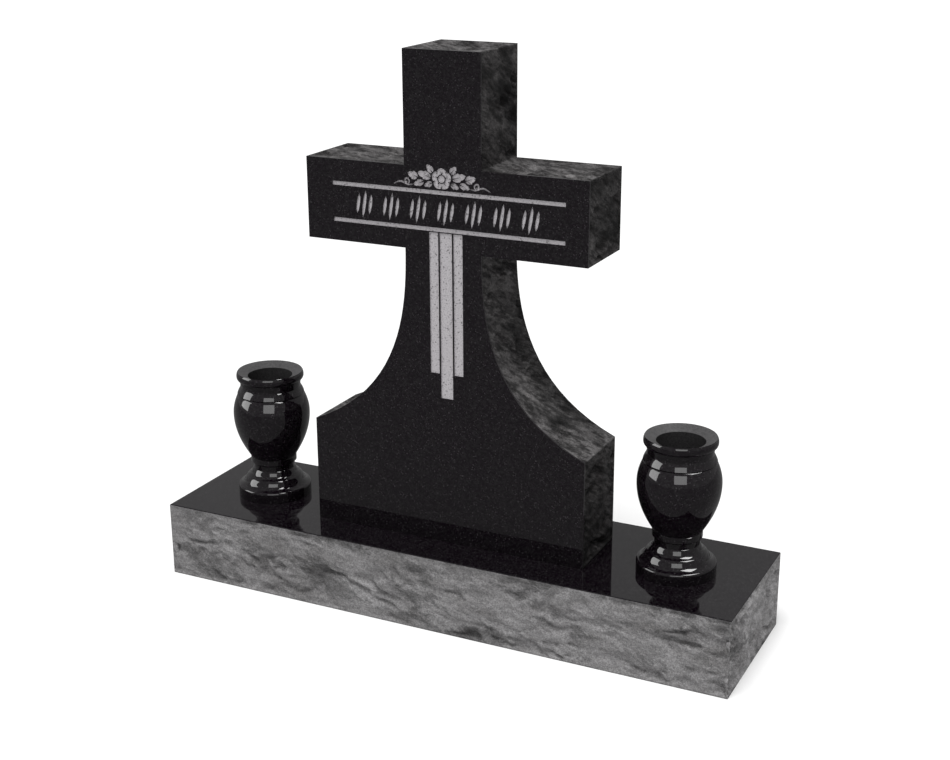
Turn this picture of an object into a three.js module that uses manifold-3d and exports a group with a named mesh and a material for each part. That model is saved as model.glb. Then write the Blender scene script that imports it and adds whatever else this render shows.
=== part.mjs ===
// A cross memorial of black granite, in millimetres: a flared cross on a long base, between turned vases.
// X runs along the base, to the right as the front is seen. Y runs to the back, and Z up.
// The origin is at the middle of the base's underside.

import * as THREE from 'three';
import { mergeVertices } from 'three/addons/utils/BufferGeometryUtils.js';
import Module from 'manifold-3d';

const wasm = await Module();
wasm.setup();

// The base
const baseLength = 1168;
const baseDepth = 307;
const baseHeight = 150;

// What stands on another piece is set with this gap
const settingGap = 0.3;

// The cross, from its foot to its top
const crossThickness = 150;
const footWidth = 558;
const armSpan = 557;
const shaftWidth = 152;
const footSideHeight = 207;
const flareHeight = 357;
const armHeight = 151;
const headHeight = 203;

// The flare leaves the shaft straight down and meets the top of the foot's side at a slope
const flareLead = 111;
const flareToe = 210;
const flareToeSlope = THREE.MathUtils.degToRad(22.8);
const flareSegments = 20;

// The frosted carving, cut into the front of the cross
const carvingDepth = 2;
const carvingShift = 6;             // the panel's centre line, to the right of the cross's own
const ruleMargin = 36;              // from the arms' underside up to the lower rule
const ruleInset = 49;
const ruleWidth = 7;
const ruleGap = 60;

// The three bands that hang from the lower rule
const bandRuleGap = 2;
const bandGap = 3.2;
const middleBandWidth = 24;
const sideBandWidth = 17.8;
const middleBandLength = 310;
const sideBandLength = 263;

// The row of plain strokes between the rules
const strokeRowInset = 37.5;
const strokeGroups = 7;
const strokesPerGroup = 3;
const strokePitch = 12.5;
const strokeWidth = 6.6;
const middleStrokeMargin = 4.5;
const outerStrokeMargin = 11.5;
const strokeLean = THREE.MathUtils.degToRad(8);
const strokeSwellAt = 0.7;
const strokeSegments = 4;

// The flower above the rules
const flowerShift = -1.3;
const flowerRuleGap = 1.3;
const petals = 5;
const petalRadius = 19.6;
const petalShoulderRadius = 17.2;
const petalNotchRadius = 12.6;
const petalShoulderAt = 0.44;       // either side of a petal's middle, as a share of its angle
const petalRibAt = 0.1;
const eyeRadius = 6.6;
const eyeRingWidth = 1.8;
const petalRibLength = 5;
const ornamentSegments = 3;

// The leaves on one side of the flower: the stem's end, out and up from the flower's centre, and the turn
// from level in degrees
const leaves = [
  { out: 17.5, up: 10.5, length: 17.5, width: 13, turn: 49 },
  { out: 21, up: 1.3, length: 27.5, width: 16, turn: 16 },
  { out: 47, up: 0, length: 21, width: 15.5, turn: 18 },
  { out: 35.5, up: -7.2, length: 21, width: 12.5, turn: -17 },
  { out: 18.5, up: -8.2, length: 17, width: 11, turn: -22 },
];
const leafSplitWidth = 2;

// A leaf's points, as shares of its length and of half its width
const leafLobe = { along: 0.5, across: 1 };
const leafShoulder = { along: 0.08, across: 0.92 };
const leafNotch = { along: 0.6, across: 0.66 };
const leafCheek = { along: 0.82, across: 0.84 };

// The scroll at each end of the leaves, from the flower's centre
const scrollWidth = 3.2;
const scrollTaper = 0.55;
const scrollSteps = 12;
const curlOut = 69.5;
const curlDrop = 8;
const curlRadius = 6.2;
const curlTurns = 1.15;
const curlNarrowing = 0.72;
const tailPoints = [
  { out: 57, drop: 13.4 },
  { out: 66, drop: 14.6 },
  { out: 77, drop: 10.6 },
  { out: 85, drop: 10.4 },
  { out: 95.5, drop: 15.4 },
];

// The vases, from the foot up
const vaseFootRadius = 73.4;
const footRimHeight = 16.5;
const footRoll = 4.4;
const footRollHeight = 6.3;
const lowerOgee = { hollowInset: 9.6, hollowHeight: 8.7, swellInset: 5.8, swellHeight: 9.3 };
const upperOgee = { hollowInset: 8, hollowHeight: 7.7, swellInset: 4, swellHeight: 7.5 };
const ogeeLean = 0.4;               // in per up, where the hollow runs into the swell
const hollowPull = 0.63;
const swellPull = 0.82;
const waistHeight = 10.5;
const collarStep = 4.3;
const collarFlare = 3.5;
const collarHeight = 10;
const collarEdge = 1;               // the belly starts this much in from the collar's edge, and above it
const lowerBellyHeight = 92;
const lowerBellyLift = 21;
const lowerBellyFlare = 11.6;
const upperBellyHeight = 40;
const shoulderHeight = 13;
const grooveWidth = 3;
const grooveDepth = 2;
const neckHeight = 11;
const neckBead = 1.5;
const neckBeadHeight = 2.5;
const lipOverhang = 7;
const lipUndersideHeight = 8.5;
const lipFaceHeight = 9.6;
const lipRoll = 2.6;

// Its bore, and the stone left round the bore at each height
const boreRadius = 44.4;
const boreFloorHeight = 26;         // above the collar
const neckWall = 15.6;
const shoulderWall = 22.2;
const bellyWall = 32;
const mouthDish = 9.5;              // the lip's top falls this much to the bore
const vaseSides = 36;
const rollSteps = 4;
const bellySteps = 6;

const baseTop = baseHeight + settingGap;
const vaseOut = (baseLength + footWidth) / 4;   // half way from the cross's foot to the base's end
const crossFront = -crossThickness / 2;
const armBottom = footSideHeight + flareHeight;
const armTop = armBottom + armHeight;
const ruleLength = armSpan - 2 * ruleInset;
const lowerRuleBottom = armBottom + ruleMargin;
const lowerRuleTop = lowerRuleBottom + ruleWidth;
const upperRuleBottom = lowerRuleTop + ruleGap;
const upperRuleTop = upperRuleBottom + ruleWidth;

// An outline in X and Z, made solid along Y behind the plane at front
function slab(shape, front, thickness) {
  const geometry = new THREE.ExtrudeGeometry(shape, {
    depth: thickness,
    bevelEnabled: false,
    curveSegments: flareSegments,
  });
  geometry.rotateX(Math.PI / 2);
  geometry.translate(0, front + thickness, 0);
  return geometry;
}

function solidFrom(geometry) {
  const bare = geometry.clone();
  bare.deleteAttribute('normal');
  bare.deleteAttribute('uv');
  const merged = mergeVertices(bare);
  return new wasm.Manifold(new wasm.Mesh({
    numProp: 3,
    vertProperties: merged.attributes.position.array,
    triVerts: Uint32Array.from(merged.index.array),
  }));
}

function geometryFrom(solid) {
  const mesh = solid.getMesh();
  const geometry = new THREE.BufferGeometry();
  geometry.setAttribute('position', new THREE.BufferAttribute(mesh.vertProperties, 3));
  geometry.setIndex(new THREE.BufferAttribute(mesh.triVerts, 1));
  geometry.computeVertexNormals();
  return geometry;
}

// Each outline of the carving has its own origin, and is turned, moved and, on the left, mirrored into place
function placedPoints(points, { x, z, turn = 0, side = 1 }) {
  const placed = points.map((point) => {
    const turned = point.clone().rotateAround(new THREE.Vector2(), turn);
    return new THREE.Vector2(x + side * turned.x, z + turned.y);
  });
  return side < 0 ? placed.reverse() : placed;
}

function placedShape(shape, place, segments = ornamentSegments) {
  const placed = new THREE.Shape(placedPoints(shape.getPoints(segments), place));
  for (const hole of shape.holes) {
    placed.holes.push(new THREE.Path(placedPoints(hole.getPoints(segments), place)));
  }
  return placed;
}

function bar(left, right, bottom, top) {
  return new THREE.Shape([
    new THREE.Vector2(left, bottom),
    new THREE.Vector2(right, bottom),
    new THREE.Vector2(right, top),
    new THREE.Vector2(left, top),
  ]);
}

function ruleShapes() {
  const left = carvingShift - ruleLength / 2;
  const right = carvingShift + ruleLength / 2;
  return [bar(left, right, lowerRuleBottom, lowerRuleTop), bar(left, right, upperRuleBottom, upperRuleTop)];
}

function bandShapes() {
  const top = lowerRuleBottom - bandRuleGap;
  const middleHalf = middleBandWidth / 2;
  const sideInner = middleHalf + bandGap;
  const sideOuter = sideInner + sideBandWidth;
  return [
    bar(carvingShift - middleHalf, carvingShift + middleHalf, top - middleBandLength, top),
    bar(carvingShift - sideOuter, carvingShift - sideInner, top - sideBandLength, top),
    bar(carvingShift + sideInner, carvingShift + sideOuter, top - sideBandLength, top),
  ];
}

// One stroke is a slim leaning lens, about its own middle
function strokeShape(length) {
  const tipZ = length / 2;
  const tipX = tipZ * Math.tan(strokeLean);
  const swellX = strokeWidth * 2 / 3;
  const swellZ = strokeSwellAt * tipZ;
  const stroke = new THREE.Shape();
  stroke.moveTo(-tipX, -tipZ);
  stroke.bezierCurveTo(swellX - tipX, -swellZ, swellX + tipX, swellZ, tipX, tipZ);
  stroke.bezierCurveTo(tipX - swellX, swellZ, -tipX - swellX, -swellZ, -tipX, -tipZ);
  return stroke;
}

// Groups of strokes, each with its longest in the middle, half way between the rules
function strokeShapes() {
  const groupPitch = (ruleLength - 2 * strokeRowInset) / strokeGroups;
  const z = (lowerRuleTop + upperRuleBottom) / 2;
  const shapes = [];
  for (let group = 0; group < strokeGroups; group += 1) {
    const groupX = carvingShift + (group - (strokeGroups - 1) / 2) * groupPitch;
    for (let index = 0; index < strokesPerGroup; index += 1) {
      const fromMiddle = index - (strokesPerGroup - 1) / 2;
      const margin = fromMiddle === 0 ? middleStrokeMargin : outerStrokeMargin;
      const place = { x: groupX + fromMiddle * strokePitch, z };
      shapes.push(placedShape(strokeShape(ruleGap - 2 * margin), place, strokeSegments));
    }
  }
  return shapes;
}

function polar(radius, angle) {
  return new THREE.Vector2(radius * Math.cos(angle), radius * Math.sin(angle));
}

// Petals round a ring that is left standing, with a short rib out to each petal, and the eye inside the ring
function flowerShapes() {
  const petalAngle = 2 * Math.PI / petals;
  const ringRadius = eyeRadius + eyeRingWidth;
  const flower = new THREE.Shape();
  const ring = [];
  for (let petal = 0; petal < petals; petal += 1) {
    const middle = Math.PI / 2 + petal * petalAngle;
    const around = (radius, share) => polar(radius, middle + share * petalAngle);
    const tip = around(petalRadius, 0);
    const notch = around(petalNotchRadius, 0.5);
    const shoulders = [-petalShoulderAt, petalShoulderAt].map((share) => around(petalShoulderRadius, share));
    const cheeks = [-petalShoulderAt / 2, petalShoulderAt / 2].map((share) => around(petalRadius, share));
    if (petal === 0) {
      flower.moveTo(shoulders[0].x, shoulders[0].y);
    } else {
      flower.lineTo(shoulders[0].x, shoulders[0].y);
    }
    flower.quadraticCurveTo(cheeks[0].x, cheeks[0].y, tip.x, tip.y);
    flower.quadraticCurveTo(cheeks[1].x, cheeks[1].y, shoulders[1].x, shoulders[1].y);
    flower.lineTo(notch.x, notch.y);
    ring.push(around(ringRadius, -petalRibAt));
    ring.push(around(ringRadius + petalRibLength, 0));
    ring.push(around(ringRadius, petalRibAt));
    ring.push(around(ringRadius, 0.5));
  }
  flower.holes.push(new THREE.Path(ring));
  const eye = new THREE.Shape();
  eye.absarc(0, 0, eyeRadius, 0, 2 * Math.PI);
  const eyeOutline = new THREE.Shape(eye.getPoints(2 * ornamentSegments).slice(0, -1));
  return [flower, eyeOutline];
}

// A leaf runs along X from its stem's end to its tip, with a lobe on each half, and is split by its rib
function leafShape(length, width) {
  const point = ({ along, across }, half) => [along * length, half * across * width / 2];
  const leaf = new THREE.Shape();
  leaf.moveTo(...point({ along: leafNotch.along, across: 0 }, 1));
  leaf.lineTo(0, -leafSplitWidth / 2);
  leaf.quadraticCurveTo(...point(leafShoulder, -1), ...point(leafLobe, -1));
  leaf.lineTo(...point(leafNotch, -1));
  leaf.quadraticCurveTo(...point(leafCheek, -1), length, 0);
  leaf.quadraticCurveTo(...point(leafCheek, 1), ...point(leafNotch, 1));
  leaf.lineTo(...point(leafLobe, 1));
  leaf.quadraticCurveTo(...point(leafShoulder, 1), 0, leafSplitWidth / 2);
  return leaf;
}

// A ribbon along a run of points, full in the middle and drawn in at its ends
function ribbonShape(points) {
  const left = [];
  const right = [];
  points.forEach((point, index) => {
    const before = points[Math.max(index - 1, 0)];
    const after = points[Math.min(index + 1, points.length - 1)];
    const along = after.clone().sub(before).normalize();
    const share = index / (points.length - 1);
    const half = scrollWidth / 2 * (1 - scrollTaper + scrollTaper * Math.sin(Math.PI * share));
    left.push(new THREE.Vector2(point.x - along.y * half, point.y + along.x * half));
    right.push(new THREE.Vector2(point.x + along.y * half, point.y - along.x * half));
  });
  return new THREE.Shape([...right, ...left.reverse()]);
}

// The curl winds in from its lowest point, and the tail waves out below it to a fine end
function scrollShapes() {
  const curl = [];
  for (let step = 0; step <= scrollSteps; step += 1) {
    const share = step / scrollSteps;
    const spin = -Math.PI / 2 - share * curlTurns * 2 * Math.PI;
    const winding = polar(curlRadius * (1 - curlNarrowing * share), spin);
    curl.push(new THREE.Vector2(curlOut + winding.x, winding.y - curlDrop));
  }
  const tail = new THREE.SplineCurve(tailPoints.map(({ out, drop }) => new THREE.Vector2(out, -drop)));
  return [ribbonShape(curl), ribbonShape(tail.getPoints(scrollSteps))];
}

function ornamentShapes() {
  const flowerPlace = { x: flowerShift, z: upperRuleTop + flowerRuleGap + petalRadius };
  const shapes = flowerShapes().map((shape) => placedShape(shape, flowerPlace));
  for (const side of [-1, 1]) {
    for (const { out, up, length, width, turn } of leaves) {
      shapes.push(placedShape(leafShape(length, width), {
        x: flowerPlace.x + side * out,
        z: flowerPlace.z + up,
        turn: THREE.MathUtils.degToRad(turn),
        side,
      }));
    }
    for (const scroll of scrollShapes()) {
      shapes.push(placedShape(scroll, { ...flowerPlace, side }));
    }
  }
  return shapes;
}

function crossOutline() {
  const footHalf = footWidth / 2;
  const armHalf = armSpan / 2;
  const shaftHalf = shaftWidth / 2;
  const top = armTop + headHeight;
  const toeX = footHalf - flareToe * Math.cos(flareToeSlope);
  const toeZ = footSideHeight + flareToe * Math.sin(flareToeSlope);
  const outline = new THREE.Shape();
  outline.moveTo(-footHalf, 0);
  outline.lineTo(footHalf, 0);
  outline.lineTo(footHalf, footSideHeight);
  outline.bezierCurveTo(toeX, toeZ, shaftHalf, armBottom - flareLead, shaftHalf, armBottom);
  outline.lineTo(armHalf, armBottom);
  outline.lineTo(armHalf, armTop);
  outline.lineTo(shaftHalf, armTop);
  outline.lineTo(shaftHalf, top);
  outline.lineTo(-shaftHalf, top);
  outline.lineTo(-shaftHalf, armTop);
  outline.lineTo(-armHalf, armTop);
  outline.lineTo(-armHalf, armBottom);
  outline.lineTo(-shaftHalf, armBottom);
  outline.bezierCurveTo(-shaftHalf, armBottom - flareLead, -toeX, toeZ, -footHalf, footSideHeight);
  return outline;
}

function crossGeometry() {
  const carving = [...ruleShapes(), ...bandShapes(), ...strokeShapes(), ...ornamentShapes()];
  let cross = solidFrom(slab(crossOutline(), crossFront, crossThickness));
  for (const shape of carving) {
    cross = cross.subtract(solidFrom(slab(shape, crossFront - carvingDepth, 2 * carvingDepth)));
  }
  return geometryFrom(cross);
}

// The vase's section, from the middle of its foot up its outside, over the lip and down into the bore
function vaseProfile() {
  const neckRadius = boreRadius + neckWall;
  const bellyRadius = boreRadius + bellyWall;
  const shoulderRadius = boreRadius + shoulderWall;
  const beadRadius = neckRadius + neckBead;
  const lipRadius = neckRadius + lipOverhang;
  const section = [new THREE.Vector2(0, 0), new THREE.Vector2(vaseFootRadius, 0)];
  let height = footRimHeight;
  const point = (radius, rise = 0) => new THREE.Vector2(radius, height + rise);
  const rise = (step) => {
    height += step;
  };
  const line = (radius) => section.push(point(radius));
  const roll = (start, control, end, steps) => {
    section.push(...new THREE.QuadraticBezierCurve(start, control, end).getPoints(steps));
  };

  const rimTop = point(vaseFootRadius);
  rise(footRollHeight);
  let radius = vaseFootRadius - footRoll;
  roll(rimTop, point(vaseFootRadius, -footRollHeight / 8), point(radius), rollSteps / 2);
  for (const { hollowInset, hollowHeight, swellInset, swellHeight } of [lowerOgee, upperOgee]) {
    const hollowStart = point(radius);
    rise(hollowHeight);
    radius -= hollowInset;
    const hollowDrop = hollowHeight * hollowPull;
    const swellLift = swellHeight * swellPull;
    const turn = point(radius);
    roll(hollowStart, point(radius + hollowDrop * ogeeLean, -hollowDrop), turn, rollSteps);
    const swellControl = point(radius - swellLift * ogeeLean, swellLift);
    rise(swellHeight);
    radius -= swellInset;
    roll(turn, swellControl, point(radius), rollSteps);
  }
  rise(waistHeight);
  line(radius);
  rise(collarFlare);
  const collarRadius = radius + collarStep;
  line(collarRadius);
  rise(collarHeight);
  line(collarRadius);
  const boreFloor = height + boreFloorHeight;
  const bellyFoot = point(collarRadius - collarEdge, collarEdge);
  const bellyLift = point(collarRadius + lowerBellyFlare, lowerBellyLift);
  rise(lowerBellyHeight);
  const belly = point(bellyRadius);
  const swell = point(bellyRadius, -upperBellyHeight);
  section.push(...new THREE.CubicBezierCurve(bellyFoot, bellyLift, swell, belly).getPoints(bellySteps));
  rise(upperBellyHeight);
  roll(belly, point(bellyRadius, -upperBellyHeight / 2), point(shoulderRadius), rollSteps);
  rise(grooveWidth / 2);
  line(shoulderRadius - grooveDepth);
  rise(grooveWidth / 2);
  const shoulderStart = point(shoulderRadius);
  rise(shoulderHeight);
  roll(shoulderStart, point((shoulderRadius + neckRadius) / 2, -shoulderHeight / 3), point(neckRadius), 2);
  rise(neckHeight);
  line(neckRadius);
  line(beadRadius);
  rise(neckBeadHeight);
  const lipStart = point(beadRadius);
  rise(lipUndersideHeight);
  roll(lipStart, point(lipRadius, -lipUndersideHeight * 2 / 3), point(lipRadius), rollSteps / 2);
  rise(lipFaceHeight);
  const lipFace = point(lipRadius, -lipFaceHeight);
  roll(lipFace, point(lipRadius, -lipFaceHeight / 3), point(lipRadius - lipRoll), rollSteps / 2);
  section.push(point(boreRadius, -mouthDish));
  section.push(new THREE.Vector2(boreRadius, boreFloor));
  section.push(new THREE.Vector2(0, boreFloor));
  return section.filter((next, index) => index === 0 || next.distanceTo(section[index - 1]) > 0);
}

function vaseGeometry() {
  const geometry = new THREE.LatheGeometry(vaseProfile(), vaseSides);
  geometry.rotateX(Math.PI / 2);
  return geometry;
}

function piece(name, geometry, material, x, z) {
  const mesh = new THREE.Mesh(geometry, material);
  mesh.name = name;
  mesh.position.set(x, 0, z);
  return mesh;
}

const pitchedGranite = new THREE.MeshStandardMaterial({ color: 0x5e5c5e, roughness: 0.8, metalness: 0 });
const carvedGranite = new THREE.MeshStandardMaterial({ color: 0x1e1c1f, roughness: 0.2, metalness: 0 });
const polishedGranite = new THREE.MeshStandardMaterial({ color: 0x0e0d0f, roughness: 0.08, metalness: 0 });

const base = new THREE.BoxGeometry(baseLength, baseDepth, baseHeight);

const memorial = new THREE.Group();
memorial.add(piece('base', base, pitchedGranite, 0, baseHeight / 2));
memorial.add(piece('cross', crossGeometry(), carvedGranite, 0, baseTop));
memorial.add(piece('vase_left', vaseGeometry(), polishedGranite, -vaseOut, baseTop));
memorial.add(piece('vase_right', vaseGeometry(), polishedGranite, vaseOut, baseTop));

export default memorial;
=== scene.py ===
import math

import bmesh
import bpy
from mathutils import Matrix, Vector, noise
from mathutils.geometry import interpolate_bezier


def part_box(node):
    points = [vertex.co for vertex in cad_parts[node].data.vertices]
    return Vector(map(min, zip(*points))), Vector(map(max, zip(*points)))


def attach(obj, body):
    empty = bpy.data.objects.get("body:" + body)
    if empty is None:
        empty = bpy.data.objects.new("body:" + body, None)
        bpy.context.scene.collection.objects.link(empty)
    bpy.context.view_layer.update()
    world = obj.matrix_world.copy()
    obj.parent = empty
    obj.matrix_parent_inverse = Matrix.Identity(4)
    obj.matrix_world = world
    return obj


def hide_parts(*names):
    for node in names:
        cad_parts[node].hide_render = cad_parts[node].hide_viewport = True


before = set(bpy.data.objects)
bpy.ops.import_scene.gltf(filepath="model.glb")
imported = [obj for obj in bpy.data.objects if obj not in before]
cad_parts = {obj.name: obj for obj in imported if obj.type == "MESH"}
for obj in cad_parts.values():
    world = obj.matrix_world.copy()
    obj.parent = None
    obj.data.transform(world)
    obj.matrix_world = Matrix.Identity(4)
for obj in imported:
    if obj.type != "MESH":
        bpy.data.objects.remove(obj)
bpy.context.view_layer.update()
print("frame loaded")


# Materials

def addNode(tree, kind, **inputs):
    node = tree.nodes.new(kind)
    for name, value in inputs.items():
        node.inputs[name].default_value = value
    return node


def newGranite(name, look):
    material = bpy.data.materials.new(name)
    material.use_nodes = True
    shader = material.node_tree.nodes["Principled BSDF"]
    shader.inputs["Roughness"].default_value = look["roughness"]
    shader.inputs["Specular IOR Level"].default_value = look["specular"]
    return material, material.node_tree, shader


def grainNoise(tree, scale, detail, roughness, stretch=(1, 1, 1), turn=(0, 0, 0)):
    # the grain is longer along the axes with more stretch, and these are turned
    coordinates = addNode(tree, "ShaderNodeTexCoord")
    angles = [math.radians(angle) for angle in turn]
    mapping = addNode(tree, "ShaderNodeMapping", Scale=stretch, Rotation=angles)
    mapping.vector_type = "TEXTURE"
    texture = addNode(tree, "ShaderNodeTexNoise", Scale=scale, Detail=detail, Roughness=roughness)
    tree.links.new(coordinates.outputs["Object"], mapping.inputs["Vector"])
    tree.links.new(mapping.outputs["Vector"], texture.inputs["Vector"])
    return texture.outputs["Fac"]


def crystals(tree, scale):
    # one random grey for each crystal of the stone
    coordinates = addNode(tree, "ShaderNodeTexCoord")
    texture = addNode(tree, "ShaderNodeTexVoronoi", Scale=scale)
    separate = addNode(tree, "ShaderNodeSeparateColor")
    tree.links.new(coordinates.outputs["Object"], texture.inputs["Vector"])
    tree.links.new(texture.outputs["Color"], separate.inputs["Color"])
    return separate.outputs["Red"]


def ramp(tree, value, positions, colors):
    node = tree.nodes.new("ShaderNodeValToRGB")
    elements = node.color_ramp.elements
    while len(elements) < len(colors):
        elements.new(0.5)
    for element, position, color in zip(elements, positions, colors):
        element.position = position
        element.color = (*color, 1)
    tree.links.new(value, node.inputs["Fac"])
    return node.outputs["Color"]


def grey(tone):
    return (tone, tone, tone)


def blendColors(tree, kind, first, second, share=None):
    node = tree.nodes.new("ShaderNodeMix")
    node.data_type = "RGBA"
    node.blend_type = kind
    node.inputs["Factor"].default_value = 1.0
    if share:
        tree.links.new(share, node.inputs["Factor"])
    tree.links.new(first, node.inputs["A"])
    tree.links.new(second, node.inputs["B"])
    return node.outputs["Result"]


def bump(tree, height, depth, strength, under=None):
    node = addNode(tree, "ShaderNodeBump", Distance=depth, Strength=strength)
    tree.links.new(height, node.inputs["Height"])
    if under:
        tree.links.new(under, node.inputs["Normal"])
    return node.outputs["Normal"]


polish = {
    "roughness": 0.035,
    "specular": 0.5,
    "dark": (0.0019, 0.0005, 0.0019),
    "crystal": (0.0088, 0.0078, 0.0088),
    "crystalScale": 370,
    "crystalStops": (0.3, 1.0),
    "fleck": (0.026, 0.024, 0.026),
    "fleckScale": 620,
    "fleckStops": (0.96, 0.985),    # about one crystal in thirty is a pale fleck
}


def makePolished():
    material, tree, shader = newGranite("polishedBlackGranite", polish)
    ground = ramp(tree, crystals(tree, polish["crystalScale"]), polish["crystalStops"],
                  (polish["dark"], polish["crystal"]))
    flecks = ramp(tree, crystals(tree, polish["fleckScale"]), polish["fleckStops"],
                  (grey(0), polish["fleck"]))
    color = blendColors(tree, "ADD", ground, flecks)
    tree.links.new(color, shader.inputs["Base Color"])
    return material


frost = {
    "roughness": 0.85,
    "specular": 0.15,
    "dark": (0.24, 0.23, 0.24),
    "light": (0.415, 0.399, 0.414),
    "grain": {"scale": 480, "detail": 2, "roughness": 0.6},
    "grainStops": (0.33, 0.52),
    "grainDepth": 0.0004,
    "grainStrength": 0.6,
    "pitTone": 0.45,
    "pitScale": 430,
    "pitStops": (0.045, 0.075),     # about one crystal in fifteen is a dark pit
}


def makeFrosted():
    material, tree, shader = newGranite("frostedGranite", frost)
    grain = grainNoise(tree, **frost["grain"])
    ground = ramp(tree, grain, frost["grainStops"], (frost["dark"], frost["light"]))
    pits = ramp(tree, crystals(tree, frost["pitScale"]), frost["pitStops"],
                (grey(frost["pitTone"]), grey(1)))
    color = blendColors(tree, "MULTIPLY", ground, pits)
    tree.links.new(color, shader.inputs["Base Color"])
    relief = bump(tree, grain, frost["grainDepth"], frost["grainStrength"])
    tree.links.new(relief, shader.inputs["Normal"])
    return material


pitched = {
    "roughness": 0.8,
    "specular": 0.25,
    "clouds": {"scale": 16, "detail": 6, "roughness": 0.65, "stretch": (1.6, 1.6, 0.6)},
    "cloudStops": (0.3, 0.5, 0.7),
    # dark patches: partly darker fractured stone, partly painted shade under the pitched ledges
    "patches": {"scale": 6.5, "detail": 9, "roughness": 0.7, "stretch": (1.1, 1.1, 0.38)},
    "patchTurns": ((-28, 28, 0), (-18, 4, 0)),      # in degrees, one layer of patches for each
    "patchStart": 0.41,
    "streaks": {"scale": 30, "detail": 7, "roughness": 0.7, "stretch": (1, 1, 0.25),
                "turn": (-26, 14, 0)},
    "streakStops": (0.43, 0.55),
    "crystalScale": 520,
    "crystalTones": (0.68, 1.32),
    "coarse": {"scale": 70, "detail": 4, "roughness": 0.7, "stretch": (1.4, 1.4, 0.8)},
    "coarseDepth": 0.004,
    "coarseStrength": 0.6,
    "fine": {"scale": 240, "detail": 3, "roughness": 0.7},
    "fineDepth": 0.0012,
    "fineStrength": 0.8,
}

# the front of the base, its ends, and the edges of the cross, from dark to light
pitchedTones = {
    "rockPitchedGrey": {
        "tones": ((0.12, 0.116, 0.116), (0.178, 0.174, 0.176), (0.225, 0.221, 0.223)),
        "patchShadeTone": 0.62,
        "patchEnd": 0.45,       # the nearer to the start, the crisper the patches
        "streakTone": 0.9,
    },
    # painted light: a paler copy of the front's grey, so the ends of the base look as lit as the
    # front
    "rockPitchedGreyPaintedLit": {
        "tones": ((0.145, 0.141, 0.141), (0.233, 0.228, 0.231), (0.31, 0.304, 0.307)),
        "patchShadeTone": 0.6,
        "patchEnd": 0.46,
        "streakTone": 0.82,
    },
    "rockPitchedDark": {
        "tones": ((0.021, 0.019, 0.0195), (0.04, 0.0374, 0.038), (0.065, 0.0615, 0.0615)),
        # painted light: the faces that look up are painted paler, as if lit from above
        "paintedTopLightTones": ((0.036, 0.0338, 0.0343), (0.079, 0.076, 0.0765), (0.134, 0.1287, 0.1287)),
        "patchShadeTone": 0.4,
        "patchEnd": 0.52,
        "streakTone": 0.5,
    },
}


def makePitched(name):
    material, tree, shader = newGranite(name, pitched)
    look = pitchedTones[name]
    clouds = grainNoise(tree, **pitched["clouds"])
    color = ramp(tree, clouds, pitched["cloudStops"], look["tones"])
    # painted light: faces that look up are mixed towards paler tones, as if lit from above
    if "paintedTopLightTones" in look:
        topLightShare = tree.nodes.new("ShaderNodeAttribute")
        topLightShare.attribute_name = "topLightShare"
        topLitColor = ramp(tree, clouds, pitched["cloudStops"], look["paintedTopLightTones"])
        color = blendColors(tree, "MIX", color, topLitColor, topLightShare.outputs["Fac"])
    # painted shade: the dark patches stand partly for the shade under the pitched ledges and
    # partly for darker fractured stone
    for turn in pitched["patchTurns"]:
        patches = grainNoise(tree, **pitched["patches"], turn=turn)
        shade = ramp(tree, patches, (pitched["patchStart"], look["patchEnd"]),
                     (grey(look["patchShadeTone"]), grey(1)))
        color = blendColors(tree, "MULTIPLY", color, shade)
    streaks = grainNoise(tree, **pitched["streaks"])
    shade = ramp(tree, streaks, pitched["streakStops"],
                 (grey(look["streakTone"]), grey(2 - look["streakTone"])))
    color = blendColors(tree, "MULTIPLY", color, shade)
    speckle = ramp(tree, crystals(tree, pitched["crystalScale"]), (0, 1),
                   [grey(tone) for tone in pitched["crystalTones"]])
    color = blendColors(tree, "MULTIPLY", color, speckle)
    tree.links.new(color, shader.inputs["Base Color"])
    coarse = bump(tree, grainNoise(tree, **pitched["coarse"]),
                  pitched["coarseDepth"], pitched["coarseStrength"])
    fine = bump(tree, grainNoise(tree, **pitched["fine"]),
                pitched["fineDepth"], pitched["fineStrength"], coarse)
    tree.links.new(fine, shader.inputs["Normal"])
    return material


honed = {
    "roughness": 0.45,
    "specular": 0.4,
    "dark": (0.045, 0.0438, 0.045),
    "light": (0.07, 0.0683, 0.07),
    "stops": (0.1, 0.9),
}


def makeHoned():
    material, tree, shader = newGranite("honedGranite", honed)
    color = ramp(tree, crystals(tree, polish["crystalScale"]), honed["stops"],
                 (honed["dark"], honed["light"]))
    tree.links.new(color, shader.inputs["Base Color"])
    return material


bored = {
    "roughness": 0.6,
    "specular": 0.2,
    "dark": (0.012, 0.0115, 0.012),
    "light": (0.03, 0.029, 0.03),
    "stops": (0.35, 0.65),
    "grain": {"scale": 400, "detail": 3, "roughness": 0.6},
    "grainDepth": 0.0005,
    "grainStrength": 0.5,
}


def makeBored():
    material, tree, shader = newGranite("boredGranite", bored)
    grain = grainNoise(tree, **bored["grain"])
    color = ramp(tree, grain, bored["stops"], (bored["dark"], bored["light"]))
    tree.links.new(color, shader.inputs["Base Color"])
    relief = bump(tree, grain, bored["grainDepth"], bored["grainStrength"])
    tree.links.new(relief, shader.inputs["Normal"])
    return material


polishedGranite = makePolished()
frostedGranite = makeFrosted()
frontGranite = makePitched("rockPitchedGrey")
endGranite = makePitched("rockPitchedGreyPaintedLit")
edgeGranite = makePitched("rockPitchedDark")
honedGranite = makeHoned()
boredGranite = makeBored()
print("granite mixed")


# Rock pitching

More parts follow.
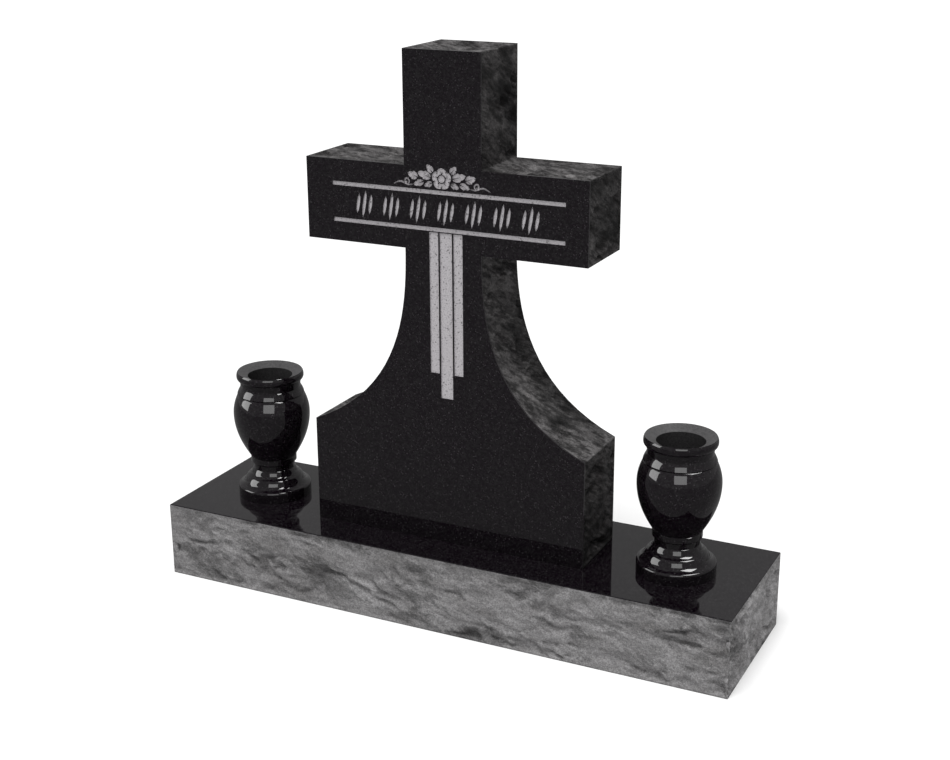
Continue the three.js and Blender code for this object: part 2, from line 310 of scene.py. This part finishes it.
rock = {
    "step": 0.003,              # one facet of the pitched mesh
    "edgeFade": 0.007,          # the relief dies out this far from an edge
    "squash": 1.8,              # the marks are this much longer than they are high
    "slant": (0.2, 0.42),       # the ledges fall this much to the right, and to the back
    "ledgeRise": 0.058,         # from one ledge up to the next
    "ledgeDepth": 0.0105,
    "ledgeLength": 0.2,
    "ledgeWander": 2.1,         # how far the ledges stray, in ledges
    "underside": 0.4,           # the share of a ledge that faces down
    "wanderNoise": (0.9, 2.2, 5),       # smoothness, spacing and number of octaves
    "patchSize": 0.085,         # the ledges come and go in patches of this size
    "patchPlace": (5, 9, 2),
    "patchCover": 0.4,
    "patchContrast": 1.6,
    "chipRise": 0.019,
    "chipDepth": 0.0013,
    "chipWander": 2.2,          # the chips stray this much more than the ledges
    "grainSize": 0.011,
    "grainDepth": 0.0009,
    "grainNoise": (0.8, 2.1, 4),
}
touching = 1e-4             # places nearer than this are the same
weld = 1e-5                 # and points nearer than this are joined


def smoothStep(value):
    value = min(max(value, 0.0), 1.0)
    return value * value * (3 - 2 * value)


def ledge(share):
    # sinks slowly on the way up, then comes forward again on the underside of the next ledge
    share %= 1.0
    turn = 1 - rock["underside"]
    return share / turn if share < turn else (1 - share) / rock["underside"]


def pitchDepth(place, rockPlace):
    spot = Vector((place.x, place.y, place.z * rock["squash"])) + Vector(rockPlace)
    height = place.z + rock["slant"][0] * place.x + rock["slant"][1] * place.y
    wander = noise.fractal(spot / rock["ledgeLength"], *rock["wanderNoise"]) * rock["ledgeWander"]
    patch = noise.noise(spot / rock["patchSize"] + Vector(rock["patchPlace"]))
    strength = smoothStep(rock["patchCover"] + rock["patchContrast"] * patch)
    depth = rock["ledgeDepth"] * strength * smoothStep(ledge(height / rock["ledgeRise"] + wander))
    depth += rock["chipDepth"] * ledge(height / rock["chipRise"] + rock["chipWander"] * wander)
    grain = noise.fractal(spot / rock["grainSize"], *rock["grainNoise"])
    return max(depth + rock["grainDepth"] * (1 + grain), 0.0)


def pitchFaces(shape, pitchable, edgeDistance, rockPlace):
    # pushes the points of the rock-pitched sides into the stone
    bmesh.ops.recalc_face_normals(shape, faces=shape.faces)
    moves = []
    for vert in shape.verts:
        if not pitchable(vert):
            continue
        fade = smoothStep(edgeDistance(vert.co) / rock["edgeFade"])
        if fade > 0:
            moves.append((vert, vert.normal * pitchDepth(vert.co, rockPlace) * fade))
    for vert, move in moves:
        vert.co -= move


def raiseLoop(shape, edges, rise, steps):
    # extrudes a loop of edges in even steps, and gives back its last loop
    for _ in range(steps):
        grown = bmesh.ops.extrude_edge_only(shape, edges=edges)["geom"]
        verts = [item for item in grown if isinstance(item, bmesh.types.BMVert)]
        edges = [item for item in grown if isinstance(item, bmesh.types.BMEdge)]
        bmesh.ops.translate(shape, verts=verts, vec=rise / steps)
    return edges


def cutEven(shape, edges, step):
    # cuts each edge into even lengths no longer than the step
    groups = {}
    for edge in edges:
        groups.setdefault(math.ceil(edge.calc_length() / step) - 1, []).append(edge)
    for cuts, group in groups.items():
        if cuts > 0:
            bmesh.ops.subdivide_edges(shape, edges=group, cuts=cuts)


def breakEdges(shape, edges, arris, material):
    bmesh.ops.bevel(shape, geom=edges, offset=arris, offset_type="OFFSET", segments=1,
                    profile=0.5, affect="EDGES", material=material, clamp_overlap=True)


def finishPiece(shape, name, materials, node):
    bmesh.ops.recalc_face_normals(shape, faces=shape.faces)
    mesh = bpy.data.meshes.new(name)
    shape.to_mesh(mesh)
    shape.free()
    for material in materials:
        mesh.materials.append(material)
    piece = bpy.data.objects.new(name, mesh)
    bpy.context.scene.collection.objects.link(piece)
    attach(piece, "root")
    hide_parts(node)
    print(name, "made,", len(mesh.polygons), "faces")
    return piece


# Base

baseValues = {
    "arris": 0.0015,                # the polished edge of the top
    "rockPlace": (11.1, 3.9, 6.3),  # where in the rock's pattern the base is cut
}


def makeBase():
    top, front, end = 0, 1, 2       # the places of the materials
    low, high = [Vector(corner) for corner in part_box("base")]
    middle, half = (low + high) / 2, (high - low) / 2
    shape = bmesh.new()
    bmesh.ops.create_grid(shape, x_segments=1, y_segments=1, size=0.5)
    bmesh.ops.delete(shape, geom=list(shape.faces), context="FACES_ONLY")
    bmesh.ops.scale(shape, verts=shape.verts, vec=(high.x - low.x, high.y - low.y, 1))
    bmesh.ops.translate(shape, verts=shape.verts, vec=(middle.x, middle.y, low.z))
    cutEven(shape, list(shape.edges), rock["step"])
    foot = list(shape.edges)
    rise = high.z - low.z
    rim = raiseLoop(shape, foot, Vector((0, 0, rise)), round(rise / rock["step"]))
    bmesh.ops.contextual_create(shape, geom=foot)
    bmesh.ops.contextual_create(shape, geom=rim)
    arrisMark = 1                   # keeps the arris from being pitched
    breakEdges(shape, rim, baseValues["arris"], arrisMark)

    def edgeDistance(place):
        near = [half[axis] - abs(place[axis] - middle[axis]) for axis in range(3)]
        return sorted(near)[1]      # the nearest is the side's own face

    def isPitched(vert):
        return all(face.material_index != arrisMark for face in vert.link_faces)

    pitchFaces(shape, isPitched, edgeDistance, baseValues["rockPlace"])
    for face in shape.faces:
        face.smooth = len(face.verts) == 4 and face.normal.z < 0.5
        # painted light: the ends get the paler copy of the front's grey
        side = end if abs(face.normal.x) > 0.7 else front
        face.material_index = side if face.smooth else top
    return finishPiece(shape, "pitchedBase", [polishedGranite, frontGranite, endGranite],
                       "base")


makeBase()


# Cross

crossValues = {
    "arris": 0.0009,                # the broken edge of the front and the back
    "cornerAngle": 20,              # the outline's corners turn more than this, in degrees
    "rockPlace": (25.9, 9.1, 14.7),
}


def makeCross():
    polished, carved, edge = 0, 1, 2        # the places of the materials
    low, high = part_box("cross")
    front, back = low[1], high[1]
    arris, step = crossValues["arris"], rock["step"]
    shape = bmesh.new()
    shape.from_mesh(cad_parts["cross"].data)
    bmesh.ops.remove_doubles(shape, verts=shape.verts, dist=weld)
    # the sides and the back are made anew, finer, behind the carved front
    hidden = [face for face in shape.faces if max(vert.co.y for vert in face.verts) > back - step]
    bmesh.ops.delete(shape, geom=hidden, context="FACES")
    for face in shape.faces:
        isCarved = max(vert.co.y for vert in face.verts) > front + touching
        face.material_index = carved if isCarved else polished
    outline = [side for side in shape.edges if side.is_boundary]
    corners = []
    for vert in {vert for side in outline for vert in side.verts}:
        arms = [side.other_vert(vert).co - vert.co for side in vert.link_edges if side.is_boundary]
        if math.degrees(arms[0].angle(-arms[1])) > crossValues["cornerAngle"]:
            corners.append(vert.co.xz)
    cutEven(shape, outline, step)
    outline = [side for side in shape.edges if side.is_boundary]
    depth = back - front
    rear = raiseLoop(shape, outline, Vector((0, depth, 0)), round(depth / step))
    bmesh.ops.contextual_create(shape, geom=rear)
    breakEdges(shape, outline + rear, arris, edge)

    def edgeDistance(place):
        toCorner = min((place.xz - corner).length for corner in corners)
        return min(place.y - front, back - place.y, toCorner) - arris

    def isPitched(vert):
        return vert.co.z > low[2] + touching and all(face.smooth for face in vert.link_faces)

    bmesh.ops.recalc_face_normals(shape, faces=shape.faces)
    # painted light: how far each point of the pitched edges looks up, which paints it paler in the
    # material
    topLightShare = shape.verts.layers.float.new("topLightShare")
    sides = []
    for face in shape.faces:
        isBetween = abs(face.calc_center_median().y) < back - 2 * arris
        if isBetween and face.material_index == polished:
            sides.append(face)
    for face in sides:
        face.material_index = edge
        face.smooth = True
        for vert in face.verts:
            vert[topLightShare] = max(vert[topLightShare], smoothStep(face.normal.z))
    pitchFaces(shape, isPitched, edgeDistance, crossValues["rockPlace"])
    return finishPiece(shape, "carvedCross", [polishedGranite, frostedGranite, edgeGranite],
                       "cross")


makeCross()


# Vases

vase = {                                # places are radius and height
    "turnSteps": 128,
    "curveSteps": 12,
    "sharpAngle": 30,                   # an edge that turns more is left sharp, in degrees
    "foot": (0.0734, 0.0165),
    "footCorner": (0.0734, 0.022),
    "footRoll": (0.069, 0.0228),
    "ogees": (((0.0594, 0.0315), (0.0536, 0.0408)), ((0.0456, 0.0485), (0.0416, 0.056))),
    "ogeeLean": 0.4,                    # in per up, where the hollow runs into the swell
    "hollowPull": 0.63,
    "swellPull": 0.82,
    "collar": ((0.0416, 0.0665), (0.0459, 0.07), (0.0459, 0.08)),
    "bellyFoot": (0.0449, 0.081),
    "bellyPulls": ((0.0575, 0.101), (0.0764, 0.132)),
    "belly": (0.0764, 0.172),
    "bellyCorner": (0.0764, 0.192),
    "shoulder": (0.0666, 0.212),
    "groove": ((0.0646, 0.2135), (0.0666, 0.215)),
    "neckCorner": (0.0633, 0.2237),
    "neck": (0.06, 0.228),
    "bead": ((0.06, 0.239), (0.0615, 0.239), (0.0615, 0.2415)),
    "lipCorner": (0.067, 0.2443),
    "lip": (0.067, 0.25),
    "rimCorner": (0.067, 0.2564),
    "rim": (0.0644, 0.2596),
    "mouth": (0.0444, 0.2501),
    "boreFloor": 0.106,
    "dishRadius": 0.063,                # the dish is honed as far out as this
}


def curve(points, start, lead, pull, end, steps=vase["curveSteps"]):
    spots = [Vector((radius, 0, height)) for radius, height in (start, lead, pull, end)]
    for spot in interpolate_bezier(*spots, steps):
        points.append((spot.x, spot.z))


def roll(points, start, corner, end):
    # a quarter round that leaves start and reaches end along the sides of their corner
    lead = [a + (b - a) * 2 / 3 for a, b in zip(start, corner)]
    pull = [a + (b - a) * 2 / 3 for a, b in zip(end, corner)]
    curve(points, start, lead, pull, end)


def vaseSection():
    points = [(0, 0), (vase["foot"][0], 0)]
    roll(points, vase["foot"], vase["footCorner"], vase["footRoll"])
    start, lean = vase["footRoll"], vase["ogeeLean"]
    for turn, end in vase["ogees"]:
        drop = vase["hollowPull"] * (turn[1] - start[1])
        lift = vase["swellPull"] * (end[1] - turn[1])
        roll(points, start, (turn[0] + lean * drop, turn[1] - drop), turn)
        roll(points, turn, (turn[0] - lean * lift, turn[1] + lift), end)
        start = end
    points += vase["collar"]
    curve(points, vase["bellyFoot"], *vase["bellyPulls"], vase["belly"], 2 * vase["curveSteps"])
    roll(points, vase["belly"], vase["bellyCorner"], vase["shoulder"])
    points += vase["groove"]
    roll(points, points[-1], vase["neckCorner"], vase["neck"])
    points += vase["bead"]
    roll(points, points[-1], vase["lipCorner"], vase["lip"])
    roll(points, vase["lip"], vase["rimCorner"], vase["rim"])
    boreRadius, boreFloor = vase["mouth"][0], vase["boreFloor"]
    points += [vase["mouth"], (boreRadius, boreFloor), (0, boreFloor)]
    return points


def makeVase(name, node):
    outside, bore, dish = 0, 1, 2       # the places of the materials
    low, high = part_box(node)
    axis = Vector(((low[0] + high[0]) / 2, (low[1] + high[1]) / 2, low[2]))
    shape = bmesh.new()
    verts = []
    for radius, height in vaseSection():
        place = axis + Vector((radius, 0, height))
        if not verts or (place - verts[-1].co).length > weld:
            verts.append(shape.verts.new(place))
    edges = [shape.edges.new(pair) for pair in zip(verts, verts[1:])]
    bmesh.ops.spin(shape, geom=verts + edges, cent=axis, axis=(0, 0, 1), dvec=(0, 0, 0),
                   angle=2 * math.pi, steps=vase["turnSteps"], use_merge=True)
    bmesh.ops.remove_doubles(shape, verts=shape.verts, dist=weld)
    mouthRadius, mouthHeight = vase["mouth"]
    for face in shape.faces:
        center = face.calc_center_median() - axis
        radius = center.xy.length
        face.material_index = outside
        if radius < mouthRadius + touching and center.z > vase["boreFloor"] - touching:
            face.material_index = bore
        elif radius < vase["dishRadius"] and center.z > mouthHeight:
            face.material_index = dish
        face.smooth = True
    shape.normal_update()
    for edge in shape.edges:
        edge.smooth = edge.calc_face_angle(0) < math.radians(vase["sharpAngle"])
    return finishPiece(shape, name, [polishedGranite, boredGranite, honedGranite],
                       node)


turnedVases = [makeVase("turnedVaseLeft", "vase_left"), makeVase("turnedVaseRight", "vase_right")]


# Floor, lights and camera

studio = {
    "floorSize": 30,
    "floorTone": 0.85,
    "skyTone": 0.4,             # the light that falls from all round
    "glossTone": 0.35,          # what the polish mirrors of the room
    "glossFloorTone": 0.16,     # and of the floor
    "sun": (5, 70),             # azimuth and elevation
    "sunStrength": 3.3,
    "sunSoftness": 35,
    "lampDistance": 12,
    "mirrorings": 2,            # a window shows in a mirror, and in a mirror's mirror
}

# azimuths, elevations and brightness of the windows that the vases mirror
windows = {
    "windowCentre": ((5, 41), (11, 35), 3.2),
    "windowLeft": ((-76, -44), (6, 36), 5.4),
    "windowRight": ((57, 116), (49, 72), 15),
}


def makeFloor():
    shape = bmesh.new()
    bmesh.ops.create_grid(shape, x_segments=1, y_segments=1, size=studio["floorSize"])
    mesh = bpy.data.meshes.new("floor")
    shape.to_mesh(mesh)
    shape.free()
    material = bpy.data.materials.new("paleFloor")
    material.use_nodes = True
    tree = material.node_tree
    shader = tree.nodes["Principled BSDF"]
    path = tree.nodes.new("ShaderNodeLightPath")
    color = ramp(tree, path.outputs["Is Glossy Ray"], (0, 1),
                 (grey(studio["floorTone"]), grey(studio["glossFloorTone"])))
    tree.links.new(color, shader.inputs["Base Color"])
    shader.inputs["Roughness"].default_value = 1.0
    shader.inputs["Specular IOR Level"].default_value = 0.0
    mesh.materials.append(material)
    floor = bpy.data.objects.new("floor", mesh)
    bpy.context.scene.collection.objects.link(floor)


def heading(azimuth, elevation):
    azimuth, elevation = math.radians(azimuth), math.radians(elevation)
    reach = math.cos(elevation)
    return Vector((math.sin(azimuth) * reach, -math.cos(azimuth) * reach, math.sin(elevation)))


def addLight(name, kind, azimuth, elevation):
    light = bpy.data.lights.new(name, kind)
    lamp = bpy.data.objects.new(name, light)
    direction = heading(azimuth, elevation)
    lamp.location = direction * studio["lampDistance"]
    lamp.rotation_mode = "QUATERNION"
    lamp.rotation_quaternion = direction.to_track_quat("Z", "Y")
    bpy.context.scene.collection.objects.link(lamp)
    return light, lamp


def addWindow(name, azimuths, elevations, tone, receivers):
    # a bright panel that shows in the receivers' polish alone
    azimuth, elevation = sum(azimuths) / 2, sum(elevations) / 2
    light, lamp = addLight(name, "AREA", azimuth, elevation)
    light.shape = "RECTANGLE"
    width = math.radians(azimuths[1] - azimuths[0]) * math.cos(math.radians(elevation))
    height = math.radians(elevations[1] - elevations[0])
    light.size = 2 * studio["lampDistance"] * math.tan(width / 2)
    light.size_y = 2 * studio["lampDistance"] * math.tan(height / 2)
    light.energy = tone * math.pi * light.size * light.size_y
    lamp.visible_diffuse = False
    lamp.visible_camera = False
    lamp.light_linking.receiver_collection = receivers
    light.use_nodes = True
    tree = light.node_tree
    path = tree.nodes.new("ShaderNodeLightPath")
    isShown = addNode(tree, "ShaderNodeMath")
    isShown.operation = "LESS_THAN"
    isShown.inputs[1].default_value = studio["mirrorings"] + 0.5
    tree.links.new(path.outputs["Ray Depth"], isShown.inputs[0])
    tree.links.new(isShown.outputs["Value"], tree.nodes["Emission"].inputs["Strength"])


def addWindows():
    receivers = bpy.data.collections.new("mirroring")
    for piece in turnedVases:
        receivers.objects.link(piece)
    for name, (azimuths, elevations, tone) in windows.items():
        addWindow(name, azimuths, elevations, tone, receivers)


def addSun():
    light, lamp = addLight("sun", "SUN", *studio["sun"])
    light.energy = studio["sunStrength"]
    light.angle = math.radians(studio["sunSoftness"])
    lamp.visible_glossy = False


def mixShaders(tree, share, first, second):
    mix = tree.nodes.new("ShaderNodeMixShader")
    tree.links.new(share, mix.inputs["Fac"])
    tree.links.new(first.outputs[0], mix.inputs[1])
    tree.links.new(second.outputs[0], mix.inputs[2])
    return mix


def makeWorld():
    world = bpy.data.worlds.new("studio")
    bpy.context.scene.world = world
    world.use_nodes = True
    tree = world.node_tree
    tree.nodes.clear()
    output = tree.nodes.new("ShaderNodeOutputWorld")
    path = tree.nodes.new("ShaderNodeLightPath")
    sky, gloss, white = [
        addNode(tree, "ShaderNodeBackground", Color=(*grey(tone), 1))
        for tone in (studio["skyTone"], studio["glossTone"], 1.0)
    ]
    room = mixShaders(tree, path.outputs["Is Glossy Ray"], sky, gloss)
    seen = mixShaders(tree, path.outputs["Is Camera Ray"], room, white)
    tree.links.new(seen.outputs[0], output.inputs["Surface"])


camera = {
    "azimuth": 26.145,
    "elevation": 18.615,
    "roll": -0.248,
    "distance": 2.8827,
    "target": (0.0258, 0, 0.4548),
    "lens": 58.475,
    "sensor": 36,
    "clipEnd": 100,
}


def makeCamera():
    data = bpy.data.cameras.new("camera")
    data.lens = camera["lens"]
    data.sensor_width = camera["sensor"]
    data.clip_end = camera["clipEnd"]
    back = heading(camera["azimuth"], camera["elevation"])
    azimuth = math.radians(camera["azimuth"])
    right = Vector((math.cos(azimuth), math.sin(azimuth), 0))
    up = back.cross(right)
    roll = Matrix.Rotation(math.radians(camera["roll"]), 3, "Z")
    place = (Matrix((right, up, back)).transposed() @ roll).to_4x4()
    place.translation = Vector(camera["target"]) + back * camera["distance"]
    viewer = bpy.data.objects.new("camera", data)
    viewer.matrix_world = place
    bpy.context.scene.collection.objects.link(viewer)
    bpy.context.scene.camera = viewer


makeFloor()
makeWorld()
addSun()
addWindows()
makeCamera()
bpy.context.scene.view_settings.view_transform = "Standard"
print("studio set")
